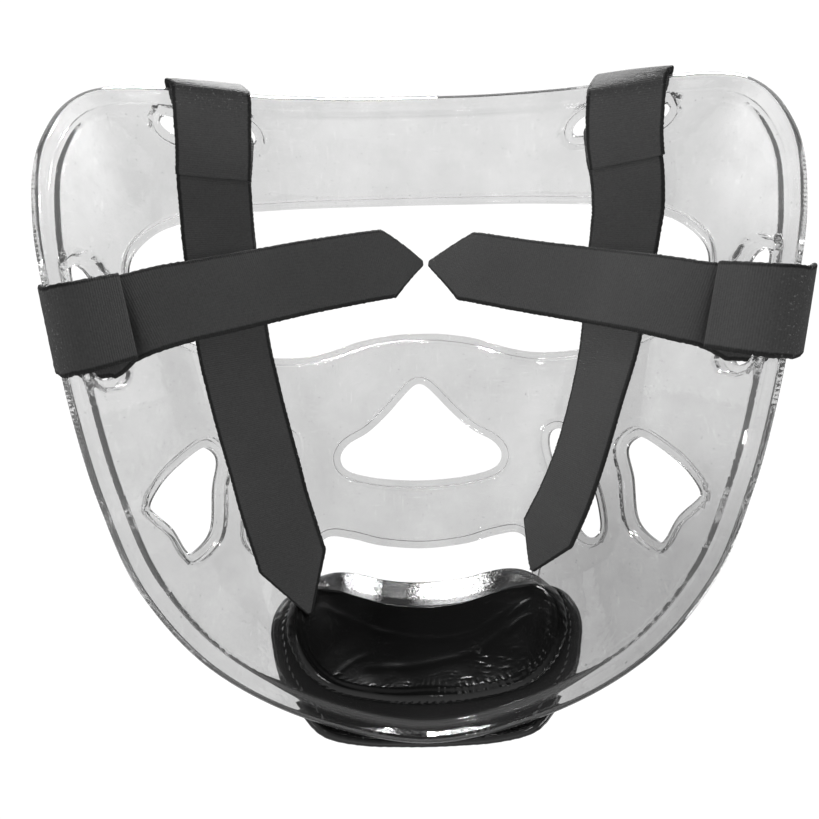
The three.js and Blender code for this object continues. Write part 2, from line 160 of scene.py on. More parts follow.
# %% The rim's table
DEEPEST_Y, DEEPEST_Z = -10, 4.8
RIM_INSET = 4.4
RIM = [  # x, y, z and power of the rim's outer edge, from the forehead to the chin
    (0, 122, 33, 5.5), (30, 121, 35.5, 5.5), (58, 118.8, 43.5, 5.2), (84.5, 114.4, 60, 4.8),
    (105.5, 105, 80, 4.3), (112.5, 85, 93, 4.0), (112, 60, 99, 3.9), (107.3, 32, 101, 3.9),
    (102.5, 3, 100, 3.9), (97, -26, 95, 3.9), (88.5, -56, 86, 3.8), (70.6, -85.6, 72, 3.8),
    (40.8, -108.8, 58, 3.8), (0, -120, 53, 3.8),
]
edge = curve_at(whole_loop(RIM), np.linspace(0, len(RIM) - 1, 1501), closed=True)
rim_bearing = np.arctan2(np.abs(edge[:, 0]), edge[:, 1] - DEEPEST_Y)
rim_reach = np.hypot(edge[:, 0], edge[:, 1] - DEEPEST_Y) - RIM_INSET
rim_height, rim_power = edge[:, 2], edge[:, 3]
rim_line = np.stack([rim_reach * np.sin(rim_bearing),
                     DEEPEST_Y + rim_reach * np.cos(rim_bearing), rim_height], axis=1)
rim_turn = run_along(rim_line)
print("half of the rim measures", round(rim_turn[-1]), "mm")

# %% Height and direction of the inner face
def rim_at(bearing):
    """Reach, height and power of the rim in a direction seen from the deepest point."""
    return [np.interp(bearing, rim_bearing, row) for row in (rim_reach, rim_height, rim_power)]


def bowl(x, y):
    """Height of the inner face: deepest height + rise * (distance / reach) ** power."""
    reach, height, power = rim_at(np.arctan2(np.abs(x), y - DEEPEST_Y))
    share = np.hypot(x, y - DEEPEST_Y) / reach
    return DEEPEST_Z + (height - DEEPEST_Z) * share ** power


def outward(x, y):
    """Unit vectors out of the mask: the slopes of the bowl, with -1 for the height."""
    h = 0.05
    slope_x = (bowl(x + h, y) - bowl(x - h, y)) / (2 * h)
    slope_y = (bowl(x, y + h) - bowl(x, y - h)) / (2 * h)
    return unit(np.stack([slope_x, slope_y, -np.ones_like(slope_x)], axis=-1))


def skin(x, y, out):
    """Points that lie `out` millimetres outside the inner face."""
    x, y, out = np.broadcast_arrays(*(np.asarray(v, float) for v in (x, y, out)))
    return np.stack([x, y, bowl(x, y)], axis=-1) + outward(x, y) * out[..., None]

# %% Places measured down the wall
WALL_STEPS = 60   # small steps, because the wall's slope changes on the way


def rim_place(turn, below):
    """The place `turn` mm round the rim from the forehead and `below` mm down the wall."""
    bearing = np.interp(np.abs(turn), rim_turn, rim_bearing)
    reach, height, power = rim_at(bearing)
    share = np.ones_like(reach + below)
    for _ in range(WALL_STEPS):
        slope = (height - DEEPEST_Z) * power * share ** (power - 1)
        share = share - below / WALL_STEPS / np.hypot(reach, slope)
    run = reach * share
    side = np.where(turn < 0, -1.0, 1.0)
    return np.stack([side * run * np.sin(bearing), DEEPEST_Y + run * np.cos(bearing)], axis=-1)

# %% [markdown]
# ## Openings
#
# The openings for eyes, nose and mouth lie on the centre line. Each side has a cheek
# vent, a narrower vent beside the nose, and two slots for tapes. An outline is a loop of
# places in front view. The slots follow the rim, so they are measured along it.

# %% Outlines of the openings
EYES = [
    (0, 84.5), (38, 83.5), (64, 80.5), (79, 76.5), (89, 69.5), (94.5, 60), (96, 49),
    (92.5, 36), (82, 27), (66, 23.5), (50, 23), (39, 25), (24, 29.7), (10, 31.9), (0, 32.2),
]
NOSE = [
    (0, 10.8), (4.5, 8.2), (14, -2), (22, -9.2), (30.5, -14.3), (33.6, -19.8),
    (30.3, -25.4), (18, -29), (0, -30.4),
]
MOUTH = [
    (0, -58.4), (17, -56.6), (29, -53), (37.5, -51.3), (41.8, -55), (42, -65), (37, -72),
    (20, -75), (0, -76),
]
CHEEK = [
    (76.4, -12), (78.6, -12.4), (82.4, -17.2), (85, -22.2), (86.4, -28.2), (85.7, -31),
    (82.3, -37.4), (79.2, -45.4), (77.4, -46.8), (74, -41), (74.2, -26.5), (73.8, -16.5),
]
SIDE_VENT = [
    (53.2, -9.4), (57, -10), (60.4, -17.5), (64.4, -32), (65.3, -42.5), (64.4, -48),
    (61.6, -50.2), (58.6, -47.2), (55.4, -36), (52, -21), (51.4, -13),
]
TOP_SLOT = dict(turn=85.5, below=17.3, length=36, width=10)
SIDE_SLOT = dict(turn=195.7, below=16, length=38.5, width=10)
STEP_ALONG = 1.15  # distance between neighbouring points of an outline


def slot_loop(slot, side, count=96):
    """A slot with round ends: half circles of half the width, joined by straight runs."""
    angle = np.linspace(0, 2 * np.pi, count, endpoint=False)
    radius = slot["width"] / 2
    along = np.cos(angle) * radius + np.sign(np.cos(angle)) * (slot["length"] / 2 - radius)
    down = -np.sin(angle) * radius
    loop = rim_place(side * slot["turn"] + along, slot["below"] + down)
    return loop[::-1] if side > 0 else loop


def clockwise(loop):
    """The loop in the order of a clock's hand in front view."""
    x, y = loop.T
    area = np.sum(x * np.roll(y, -1) - y * np.roll(x, -1))
    return loop if area < 0 else loop[::-1]


outlines = [whole_loop(rows) for rows in (EYES, NOSE, MOUTH)]
for side in (1, -1):
    outlines += [np.array(rows) * (side, 1) for rows in (CHEEK, SIDE_VENT)]
    outlines += [slot_loop(slot, side) for slot in (TOP_SLOT, SIDE_SLOT)]
openings = []
for outline in outlines:
    dense = even_loop(outline, 800)
    solid_run = np.linalg.norm(np.diff(skin(*dense.T, 0), axis=0), axis=1).sum()
    openings.append(clockwise(even_loop(outline, int(solid_run / STEP_ALONG))))
print(len(openings), "openings with", sum(map(len, openings)), "outline points")

# %% [markdown]
# ## The shell as a triangulated sheet
#
# A grid can't follow eleven openings, so the sheet is triangulated. It is first
# unrolled: a place keeps its bearing, and its distance from the deepest point is
# measured along the wall. In that plane rings of points follow each edge, an even
# pattern fills the rest, and a Delaunay triangulation joins them. Then the points go
# back onto the bowl, for the inner and for the outer face.

# %% Unrolling the bowl
BEARING_STEPS, SHARE_STEPS, HALVINGS = 360, 300, 30
table_bearing = np.linspace(0, np.pi, BEARING_STEPS + 1)
table_share = np.linspace(0, 1, SHARE_STEPS + 1)
t_reach, t_height, t_power = (row[:, None] for row in rim_at(table_bearing))
steepness = (t_height - DEEPEST_Z) * t_power * table_share ** (t_power - 1)
pace = np.hypot(t_reach, steepness)
table_run = np.hstack([np.zeros((BEARING_STEPS + 1, 1)), np.cumsum(
    (pace[:, 1:] + pace[:, :-1]) / 2 * np.diff(table_share), axis=1)])


def wall_run(bearing, share):
    """Length along the wall from the deepest point, read from the table."""
    i = np.clip(bearing / np.pi * BEARING_STEPS, 0, BEARING_STEPS - 0.001)
    j = np.clip(share * SHARE_STEPS, 0, SHARE_STEPS - 0.001)
    i0, j0 = i.astype(int), j.astype(int)
    fi, fj = i - i0, j - j0
    low, high = (table_run[k, j0] * (1 - fj) + table_run[k, j0 + 1] * fj for k in (i0, i0 + 1))
    return low * (1 - fi) + high * fi


def unrolled(places):
    """Places in front view, moved out to their distance along the wall."""
    x, y = places[:, 0], places[:, 1] - DEEPEST_Y
    bearing = np.arctan2(np.abs(x), y)
    distance = np.hypot(x, y)
    run = wall_run(bearing, np.clip(distance / rim_at(bearing)[0], 0, 1))
    return np.stack([x, y], axis=1) * (run / np.maximum(distance, 1e-9))[:, None]


def rolled(flat):
    """The way back: the share of the reach is found by halving its range."""
    bearing = np.arctan2(np.abs(flat[:, 0]), flat[:, 1])
    run = np.hypot(flat[:, 0], flat[:, 1])
    low, high = np.zeros_like(run), np.ones_like(run)
    for _ in range(HALVINGS):
        middle = (low + high) / 2
        beyond = wall_run(bearing, middle) > run
        low, high = np.where(beyond, low, middle), np.where(beyond, middle, high)
    distance = (low + high) / 2 * rim_at(bearing)[0]
    return flat * (distance / np.maximum(run, 1e-9))[:, None] + (0, DEEPEST_Y)

# %% Rings along every edge
WALL = 2.6        # thickness of the sheet
STEP = 2.2        # how far the edge bands are pressed outwards
BAND = 3.4        # width of a band round an opening
RIM_BAND = 5.2    # height of the band along the rim
RING_STEPS = (0, 0.07, 0.2, 0.5, 1.2, 2.1, 2.8, 3.2, 3.6, 4.0, 4.5)
RIM_STEPS = (0, 0.07, 0.2, 0.5, 1.3, 2.7, 4.2, 4.8, 5.2, 5.6, 6.0, 6.5, 7.2)


def grown(loop, distance):
    """A loop moved off its opening, square to itself and to the direction outwards."""
    ahead = skin(*np.roll(loop, -1, axis=0).T, 0) - skin(*np.roll(loop, 1, axis=0).T, 0)
    return loop + unit(np.cross(ahead, outward(*loop.T)))[:, :2] * distance


RIM_POINTS = 560
turns = (np.arange(RIM_POINTS) + 0.5) / RIM_POINTS * 2 * rim_turn[-1] - rim_turn[-1]
rings = [[rim_place(turns, below) for below in RIM_STEPS]]
for opening in openings:
    rings.append([grown(opening, distance) for distance in RING_STEPS])
print("rings:", sum(len(group) for group in rings))

# %% How far a point lies from an edge
def to_pieces(points, start, span):
    """Distance from each point to each straight piece, and the nearest share along it."""
    part = points[..., None, :] - start
    along = np.clip((part * span).sum(-1) / (span ** 2).sum(-1), 0, 1)
    return np.linalg.norm(part - along[..., None] * span, axis=-1), along


def edge_distance(points, loop, batch=2000):
    """Shortest distance in space from each point to a loop."""
    span = np.roll(loop, -1, axis=0) - loop
    return np.concatenate([to_pieces(points[first:first + batch], loop, span)[0].min(1)
                           for first in range(0, len(points), batch)])


def within(points, loop):
    """True for points inside a loop in the plane: a line to the right crosses it oddly."""
    inside = np.zeros(len(points), bool)
    near = np.all((points >= loop.min(0)) & (points <= loop.max(0)), axis=1)
    x, y = points[near, 0][:, None], points[near, 1][:, None]
    (x0, y0), (x1, y1) = loop.T, np.roll(loop, -1, axis=0).T
    spans = (y0 > y) != (y1 > y)
    rise = np.where(y1 == y0, 1e-12, y1 - y0)
    inside[near] = (spans & (x < x0 + (y - y0) / rise * (x1 - x0))).sum(1) % 2 == 1
    return inside

# %% Fill the rest and triangulate
SPACING = 2.3       # between neighbouring points of the pattern
FILL_REACH = 190    # the pattern covers more than the unrolled sheet
CLEARANCE = 0.9     # between the pattern and an opening's outermost ring
lines = np.arange(-FILL_REACH, FILL_REACH, SPACING * math.sqrt(3) / 2)
dots = np.arange(-FILL_REACH, FILL_REACH, SPACING)
fill_y, fill_x = np.meshgrid(lines, dots, indexing="ij")
fill = np.stack([fill_x + (np.arange(len(lines)) % 2)[:, None] * SPACING / 2, fill_y], -1)
fill = fill.reshape(-1, 2)
fill = fill[np.hypot(*fill.T) > 0.5]   # the deepest point has no bearing
fill = fill[within(fill, unrolled(rings[0][-1]))]
for group in rings[1:]:
    fill = fill[~within(fill, unrolled(grown(group[0], RING_STEPS[-1] + CLEARANCE)))]
flat_points, links = fill.tolist(), []
for group in rings:
    i = np.arange(len(group[0]))
    links += (len(flat_points) + np.stack([i, (i + 1) % len(i)], axis=1)).tolist()
    flat_points += np.vstack([unrolled(ring) for ring in group]).tolist()
plane, _, triangles, _, _, _ = delaunay_2d_cdt(
    [Vector(p) for p in flat_points], links, [], 0, 1e-5)
plane = np.array([(p.x, p.y) for p in plane])
triangles = np.array([t for t in triangles if len(t) == 3])
print("triangulated", len(plane), "points into", len(triangles), "triangles")

# %% Keep the triangles that lie on the sheet
middles = plane[triangles].mean(axis=1)
keep = within(middles, unrolled(rings[0][0]))
for group in rings[1:]:
    keep &= ~within(middles, unrolled(group[0]))
triangles = triangles[keep]
a, b, c = (plane[triangles[:, k]] for k in range(3))
triangles = triangles[np.abs(np.cross(b - a, c - a)) > 1e-7]    # none without area
used, triangles = np.unique(triangles, return_inverse=True)
triangles = triangles.reshape(-1, 3)
places = rolled(plane[used])
print("the sheet keeps", len(triangles), "triangles")

# %% [markdown]
# ## Bands and rounded edges
#
# The sheet steps outwards near each edge, as a formed sheet does to stiffen it. The
# step is a smooth ramp of the distance to the edge. The cut edge itself is rounded by a
# quarter of a circle on each face.

# %% Step the bands out and round the edges
def ramp(value, start, end):
    """0 before start, 1 after end, and 3s^2 - 2s^3 between them."""
    s = np.clip((value - start) / (end - start), 0, 1)
    return s * s * (3 - 2 * s)


def rounding(distance, radius=0.5):
    """How far a face draws back near its edge: a quarter circle."""
    d = np.clip(distance, 0, radius)
    return radius - np.sqrt(np.maximum(radius ** 2 - (radius - d) ** 2, 0))


on_bowl = skin(*places.T, 0)
rim_gap = edge_distance(on_bowl, skin(*rings[0][0].T, 0))
pressed = STEP * (1 - ramp(rim_gap, RIM_BAND - 0.6, RIM_BAND + 1.2))
drawn = rounding(rim_gap)
for group in rings[1:]:
    gap = edge_distance(on_bowl, skin(*group[0].T, 0))
    pressed = np.maximum(pressed, STEP * (1 - ramp(gap, BAND - 0.7, BAND + 0.8)))
    drawn = np.maximum(drawn, rounding(gap))
inner = skin(*places.T, pressed + drawn)
outer = skin(*places.T, pressed + WALL - drawn)

# %% Join the two faces round every edge
count = len(inner)
sides = np.vstack([triangles[:, [0, 1]], triangles[:, [1, 2]], triangles[:, [2, 0]]])
there, back = sides @ (count, 1), sides @ (1, count)
sides = sides[~np.isin(there, back)]    # the sides that only one triangle has
edge_faces = np.stack([sides[:, 1], sides[:, 0], sides[:, 0] + count, sides[:, 1] + count], 1)
shell_faces = [*triangles.tolist(), *(triangles[:, ::-1] + count).tolist(), *edge_faces.tolist()]
shell = piece("shell", np.vstack([inner, outer]), shell_faces, "clear_shell")
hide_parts("face_shell")
shell.visible_shadow = False    # light passes the clear sheet, so it takes no part
shell.visible_diffuse = False   # in lighting the other pieces

# %% [markdown]
# ## The tapes
#
# Each tape is one length, 25 mm wide. It is sewn to its own tail, runs up inside the rim,
# over the lip, down the outside and in through its slot, and ends in a free tail with a
# pointed tip. Its middle line and its two edges are smooth curves, and each cross-section
# is a flat loop with round edges. The edges are cut a little unevenly, and tufts of fuzz
# stand up where the tape folds over the lip.

# %% The tapes' tables
TAPE_WIDTH, TAPE_THICK, TAPE_CLEAR = 25, 1.5, 0.75
TAPE_COLUMNS = 25                   # points across the tape
CUT_DEPTH = 0.14                    # how far the cut edges wander
NAP_REACH, TUFT_HEIGHT = 5, 0.3     # of the fuzz along the tape, and off it
# turn is the place along the rim and slant its change per mm down the wall. slack is the
# extra distance off the wall, crest the height over the rim, and crest_run the fold's
# distance from the sewn end. Rows are x, y, z and the degrees of the raised edge.
TAPES = {
    "forehead_strap_left": dict(
        side=-1, turn=76.6, slant=0.36, slack=0, crest=2.6, slot=TOP_SLOT,
        across=(1, -0.03), crest_run=28,
        over=[(-73.4, 85.9, 46.9, -16), (-72.2, 94.9, 50, -16), (-71.3, 102, 54, -14),
              (-70.3, 107, 57.8, -13), (-70, 110.6, 59.6, -13), (-71, 113.6, 58.2, -16)],
        tail=[(-72.7, 96.2, 44, -23), (-73.8, 86.5, 44.4, -18), (-73.8, 80.6, 43.6, -18),
              (-73.7, 74.6, 42.6, -20), (-73.2, 63.7, 42, -16), (-71.1, 45.8, 42.5, -12),
              (-68.4, 25.3, 43.6, -10), (-65.7, 10.5, 42.6, -8), (-62.7, -4.3, 41, -6),
              (-59.2, -19.4, 39.6, -4), (-55.7, -34.6, 38.8, -3), (-49.2, -55.8, 40, 0)],
        tip=(-42.8, -73.9, 43.5, 0)),
    "forehead_strap_right": dict(
        side=1, turn=80, slant=0.36, slack=0, crest=2.6, slot=TOP_SLOT,
        across=(1, 0.03), crest_run=28,
        over=[(76.4, 87.8, 47.2, 27), (74.7, 94, 50.7, 22), (73.6, 99, 54.7, 17),
              (72.8, 104.2, 58.7, 13), (72.7, 108.2, 60.4, 12), (73.8, 111.8, 59, 15)],
        tail=[(75.4, 94.3, 44.9, 30), (77, 86.5, 44.3, 29), (77.8, 80, 43, 29),
              (78.1, 72, 41.5, 29), (77.4, 64, 39.6, 32), (76.2, 54, 38.2, 36),
              (74.7, 43.3, 37, 40), (71.8, 22.7, 35.2, 50), (66.9, 3, 33.6, 57),
              (60.9, -18, 32, 58), (54.4, -35, 31.2, 55), (47.6, -49, 30.6, 52)],
        tip=(41.6, -63.6, 29.2, 50)),
    "side_strap_left": dict(
        side=-1, turn=201, slant=0, slack=-0.9, crest=0.6, slot=SIDE_SLOT,
        across=(-0.2, 0.98), crest_run=24,
        over=[(-87.6, 29.8, 93, 0), (-90.4, 28.3, 97, 0), (-93.8, 26.6, 101.2, 0),
              (-97.4, 25.2, 104.2, 0), (-101, 24.6, 104.6, 0), (-104, 24.1, 103.4, 0)],
        tail=[(-96.2, 27.4, 85.4, 0), (-92.4, 28.6, 88, 0), (-88.4, 30.2, 88.6, 0),
              (-83.8, 32.4, 85.4, 0), (-77, 35.4, 79.4, 0), (-66, 39.4, 69.6, 0),
              (-52.3, 44.2, 59, 0), (-36.7, 48.9, 50, 0), (-10.8, 55.2, 37, 0)],
        tip=(1.9, 56.6, 29.4, 0)),
    "side_strap_right": dict(
        side=1, turn=200.5, slant=0, slack=0.8, crest=3, slot=SIDE_SLOT,
        across=(-0.2, -0.98), crest_run=24,
        over=[(86.2, 29, 93.2, 0), (89.4, 27.8, 97.8, 0), (92.8, 26.4, 102.6, 0),
              (97.2, 25.2, 106.2, 0), (101.6, 24.7, 107.2, 0), (105.6, 24.4, 106, 0)],
        tail=[(95, 27, 85.6, 0), (91, 28.2, 87.9, 0), (87, 29.8, 87.9, 0), (82, 31.6, 84.4, 0),
              (74.6, 34.8, 77.6, 0), (66, 38.2, 69, 0), (56.5, 41.7, 60, 0), (38.2, 47.4, 48, 0),
              (18, 53.6, 37, 0)],
        tip=(4.6, 56.4, 29.4, 0)),
}

# %% Waves and bumps
def ripple(value, seed, terms=5):
    """An uneven wave: sines of rising pitch and falling height, with seeded phases."""
    random = np.random.default_rng(seed)
    total = 0
    for k in range(terms):
        pitch, phase = 1.0 + k * 0.9 + random.random() * 0.5, random.random() * 2 * np.pi
        total = total + np.sin(value * pitch + phase) / (1 + 0.6 * k)
    return total / 2


def bell(value, height, middle, width):
    """A bump of a height, at its highest in the middle."""
    return height * np.exp(-((value - middle) / width) ** 2)

# %% A tape's edges and middle, row by row
OFFSETS = (-TAPE_WIDTH / 2, 0, TAPE_WIDTH / 2)   # left edge, middle, right edge


def tape_rows(tape):
    """Left edge, middle and right edge of every row of a tape, and the slot's row."""
    away = STEP + WALL + TAPE_CLEAR + TAPE_THICK / 2 + tape["slack"]
    slot = tape["slot"]["below"]
    wrap = np.array([    # distance below the rim, and distance outside the inner face
        (-tape["crest"], away - 0.9), (0.6, away), (4.5, away), (9, away),
        (slot - 2.6, away - tape["slack"] / 2 - 0.3), (slot - 0.8, 3.6), (slot + 0.6, 0.9),
        (slot + 2.2, -1.4)])
    over, tail = np.array(tape["over"], float), np.array(tape["tail"] + [tape["tip"]], float)
    turn = tape["side"] * (tape["turn"] + tape["slant"] * wrap[:, 0])
    wrapped = np.stack([skin(*rim_place(turn + offset, wrap[:, 0]).T, wrap[:, 1])
                        for offset in OFFSETS], axis=1)
    middles = np.vstack([over[:, :3], wrapped[:, 1], tail[:, :3]])
    heading = np.gradient(middles, axis=0)
    heading[1:-1] = middles[2:] - middles[:-2]
    heading = unit(heading)
    level = np.stack([-heading[:, 1], heading[:, 0], np.zeros(len(heading))], axis=1)
    level[:len(over)] = (*tape["across"], 0)
    level = unit(level)
    raised = unit(np.cross(heading, level))
    raised[:len(over)] = (0, 0, 1)
    lean = np.radians(np.r_[over[:, 3], np.zeros(len(wrap)), tail[:, 3]])[:, None]
    across = level * np.cos(lean) + raised * np.sin(lean)
    rows = np.stack([middles + across * offset for offset in OFFSETS], axis=1)
    rows[len(over):len(over) + len(wrap)] = wrapped
    return rows

# %% Lay a tape
def tape_surface(rows, step=0.8):
    """The tape's middle surface: curves through the rows, then a parabola across them.

    Returns points[along, across] and the run along the tape."""
    count = len(rows)
    fine = curve_at(rows.reshape(count, 9), np.linspace(0, count - 1, 60 * count))
    run = run_along(fine[:, 3:6])
    at = np.linspace(0, run[-1], int(run[-1] / step))
    left, middle, right = np.split(read_at(at, run, fine), 3, axis=1)
    end = run[int((count - 2) / (count - 1) * (60 * count - 1))]
    narrow = np.where(at < end, 1, 1 - 0.96 * (at - end) / (run[-1] - end))[:, None, None]
    share = np.linspace(-1, 1, TAPE_COLUMNS)[None, :, None]
    half, bow = (right - left) / 2, (right + left) / 2 - middle
    points = middle[:, None] + narrow * share * half[:, None] + (narrow * share) ** 2 * bow[:, None]
    return points, at


def tape_normal(points):
    """The direction off the tape: the cross product of its two slopes."""
    return unit(np.cross(np.gradient(points, axis=0), np.gradient(points, axis=1)))


def tape_body(points, thick, run):
    """A closed tape with a face on each side of its middle surface and round edges.
    Its uv is the share across and the run in tape widths."""
    normal, sideways = tape_normal(points), unit(np.gradient(points, axis=1))
    half = thick / 2
    right, left = (np.stack([points[:, k] + reach * (np.cos(a) * normal[:, k]
                                                     + np.sin(a) * sideways[:, k])
                             for a in np.radians((45, 90, 135))], 1)
                   for k, reach in ((-1, half), (0, -half)))
    ring = np.concatenate([points + normal * half, right,
                           (points - normal * half)[:, ::-1], left], axis=1)
    across = np.linspace(-1, 1, points.shape[1])
    across = np.r_[across, (1, 1, 1), across[::-1], (-1, -1, -1)]
    uv = np.stack(np.broadcast_arrays(across[None], run[:, None] / TAPE_WIDTH), axis=-1)
    return ring.reshape(-1, 3), capped_faces(*ring.shape[:2]), uv.reshape(-1, 2)


def cut_edges(points, run, seed):
    """The tape with its edges moved a little in and out."""
    share = np.linspace(-1, 1, points.shape[1])[None, :, None]
    uneven = np.stack([ripple(run * 3.1, seed), ripple(run * 2.7, seed + 1)], axis=1)
    side = np.where(share[..., 0] < 0, uneven[:, :1], uneven[:, 1:])[..., None]
    return points + unit(np.gradient(points, axis=1)) * share ** 9 * side * CUT_DEPTH


tapes = []
for k, (name, table) in enumerate(TAPES.items()):
    surface, run = tape_surface(tape_rows(table))
    surface = cut_edges(surface, run, 60 + 2 * k)
    nap = bell(run, 1, table["crest_run"], NAP_REACH)
    down, side = run[:, None], np.linspace(0, 60, TAPE_COLUMNS)[None]
    tuft = ripple(down * 2.3 + side * 0.9, 80 + k) * ripple(down * 1.1 - side * 1.7, 90 + k)
    body = surface + tape_normal(surface) * (TUFT_HEIGHT * nap[:, None] * tuft)[..., None]
    points, faces, uv = tape_body(body, TAPE_THICK, run)
    band = piece(name.replace("strap", "tape"), points, faces, "tape_cloth", uv)
    give(band, "nap", np.repeat(nap, len(points) // len(run)))
    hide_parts(name)
    tapes.append(band)
    print(name, "is", round(run[-1]), "mm long; its fold is", round(run[nap.argmax()]), "mm along")

# %% [markdown]
# ## The chin cushion
#
# The cushion is a foam pad in black vinyl. Towards the mouth it stands high, on a side
# that leans back to a sharp ridge. Towards the rim it is thin, and a seam runs round it.
# Two loops on the wall carry it: the foot, and the ridge with its height. The seam's bead
# and gathers, the folds and the creases are added to the height of the face one by one.

# %% The cushion's two loops
CUSHION_MIDDLE = np.array([0, -97])
CUSHION_COLUMNS = 520
CUSHION_RIDGE = [  # x and y of the ridge's foot, and its height above the wall
    (0, -83.2, 13), (9, -82.9, 13), (18, -81.8, 13), (26, -79.6, 12.8), (33, -77, 12.4),
    (39, -74.4, 12), (44.5, -72.6, 11), (49, -71.4, 9.4), (52.4, -73, 7.4),
    (53.4, -77.5, 6.2), (52.6, -83, 5.6), (50, -88.6, 5.5), (46.6, -93.6, 5.5),
    (42, -98.2, 5.5), (35.5, -102.6, 5.5), (26, -106.4, 5.5), (13, -109.4, 5.5),
    (0, -110.3, 5.5),
]
CUSHION_FOOT = [
    (0, -71.8), (9, -71.4), (18, -69.9), (26, -67.6), (33, -65.9), (39, -65.6),
    (44, -66.8), (48.4, -69.4), (51.6, -72.6), (52.6, -77.4), (51.8, -82.8),
    (49.2, -88), (45.8, -93), (41.2, -97.4), (34.8, -101.6), (25.4, -105.2),
    (12.8, -108), (0, -108.8),
]
both = [(*ridge, *foot) for ridge, foot in zip(CUSHION_RIDGE, CUSHION_FOOT)]
loops = even_loop(whole_loop(both, (0, 3)), CUSHION_COLUMNS)
ridge, ridge_high, foot = loops[:, :2], loops[:, 2], loops[:, 3:]

# %% Folds, waves and creases
def line_distance(x, y, line):
    """Distance in front view from each place to an open line, and the share along it."""
    line = curve_at(line, np.linspace(0, len(line) - 1, 60))
    gap, along = to_pieces(np.stack([x, y], axis=-1), line[:-1], np.diff(line, axis=0))
    best = gap.argmin(-1)[..., None]
    share = (best + np.take_along_axis(along, best, -1)) / (len(line) - 1)
    return np.take_along_axis(gap, best, -1)[..., 0], share[..., 0]


def fold(x, y, line, height, width):
    """A raised fold: a bell over the distance to its line, fading out at its ends."""
    gap, share = line_distance(x, y, line)
    return height * np.sin(np.pi * share) ** 0.6 * bell(gap, 1, 0, width)


def creases(x, y, degrees, spacing, seed):
    """Short wrinkles in one direction: a quick wave across it, cut short by slow waves."""
    angle = np.radians(degrees)
    along, across = x * np.cos(angle) + y * np.sin(angle), y * np.cos(angle) - x * np.sin(angle)
    across = across + 0.6 * ripple(along * 0.2, seed)
    cut = np.maximum(ripple(along * 0.45 + 2.5 * np.sin(across * 0.8), seed + 1) + 0.1, 0)
    wave = ripple(across * 2 * np.pi / spacing, seed + 2, 2)
    return np.maximum(wave, 0) * cut


def around(x, y, middle, reach):
    """A soft patch: 1 at a place, and fading over its reach in x and in y."""
    return np.exp(-((x - middle[0]) / reach[0]) ** 2 - ((y - middle[1]) / reach[1]) ** 2)


FOLDS = [  # places of the fold's line in front view, height and half width
    ([(-45.9, -77.5), (-37.2, -83.4), (-28.7, -88.4), (-18.7, -92.2), (1.1, -95.4),
      (20.3, -92.8), (31.7, -86.6), (42.8, -78.1)], 0.2, 1.0),
    ([(-27, -100.6), (-16, -102.1), (-4.7, -102.7), (7.6, -101.3), (19.3, -98.5),
      (30.5, -92.5), (43.1, -82.2)], 0.2, 1.0),
    ([(-38, -100), (-31, -98.1), (-24, -97.6)], 0.1, 0.9),
    ([(36, -86), (40.6, -81.4), (45.4, -77)], 0.3, 0.5),
    ([(34, -91.6), (38.4, -87.2), (43.6, -82.8)], 0.3, 0.5),
]
CREASED = [  # middle, reach, direction in degrees, spacing and height
    ((27, -99.5), (11, 3.4), 18, 1.5, 0.4), ((38, -95), (5, 6), 42, 1.9, 0.3),
    ((20, -105.6), (13, 1.8), 10, 1.3, 0.3), ((-16, -107), (10, 1.5), -8, 1.5, 0.25),
    ((42, -80), (5, 5), 40, 2.2, 0.22), ((30, -84), (5, 3), 30, 1.6, 0.12),
    ((-36, -99), (9, 4), -24, 3.5, 0.1),
]

# %% The cushion's face
SEAM_FALL = 2.6                    # width of the shoulder that comes down to the seam
BEAD, GROOVE = (0.35, 0.5, 0.42), (-0.22, 1.4, 0.5)   # height, inset and half width
GATHERED = (1, 1.9, 1.7)           # the same for the gathers beside the seam
GATHER_HIGH = 0.75                 # their height along the busiest part of the seam
RIDGE_CRISP = 0.7                  # how far the sharp ridge stands over the face
FIRM_HIGH, THIN_BELOW, THIN_ASIDE = 13, 4.4, 4.6   # mouth side, less at the rim and ends
share = np.r_[1 - 0.12 * np.linspace(0, 1, 34) ** 1.2,     # close rows along the ridge
              np.linspace(0.88, 0.004, 56)[1:]][:, None]   # and wider ones to the middle
face_flat = CUSHION_MIDDLE + (ridge - CUSHION_MIDDLE)[None] * share[..., None]
face_x, face_y = face_flat[..., 0], face_flat[..., 1]
inset = (1 - share) * np.linalg.norm(ridge - CUSHION_MIDDLE, axis=1)
sewn = 1 - ramp(ridge_high, 8, 12)   # 1 along the seam, 0 along the ridge
full = FIRM_HIGH - THIN_BELOW * ramp(-face_y, 80, 113) - THIN_ASIDE * ramp(np.abs(face_x), 22, 56)
fall = 1 - (1 - (1 - np.clip(inset / SEAM_FALL, 0, 1)) ** 2) ** 0.8
high = full - (full[:1] - ridge_high) * fall
loop_run = run_along(ridge)
high = high + sewn * (bell(inset, *BEAD) + bell(inset, *GROOVE))
gather = ripple(loop_run * 2.0 + inset * 1.3, 3, 3) * bell(inset, *GATHERED)
busy = 0.05 + 0.34 * around(face_x, face_y, (24, -104), (34, 16)) + 0.3 * around(
    face_x, face_y, (52, -86), (8, 12))
gather = gather * (0.55 + 0.45 * ripple(loop_run * 0.31 + inset * 0.4, 9))
high = high + GATHER_HIGH * gather * busy * sewn
for line, height, width in FOLDS:
    high = high + fold(face_x, face_y, line, height, width)
for k, (middle, reach, degrees, spacing, height) in enumerate(CREASED):
    high = high + height * around(face_x, face_y, middle, reach) * creases(
        face_x, face_y, degrees, spacing, 20 + 3 * k)
slow = ripple(face_x * 0.11 + face_y * 0.07, 5) * 0.12
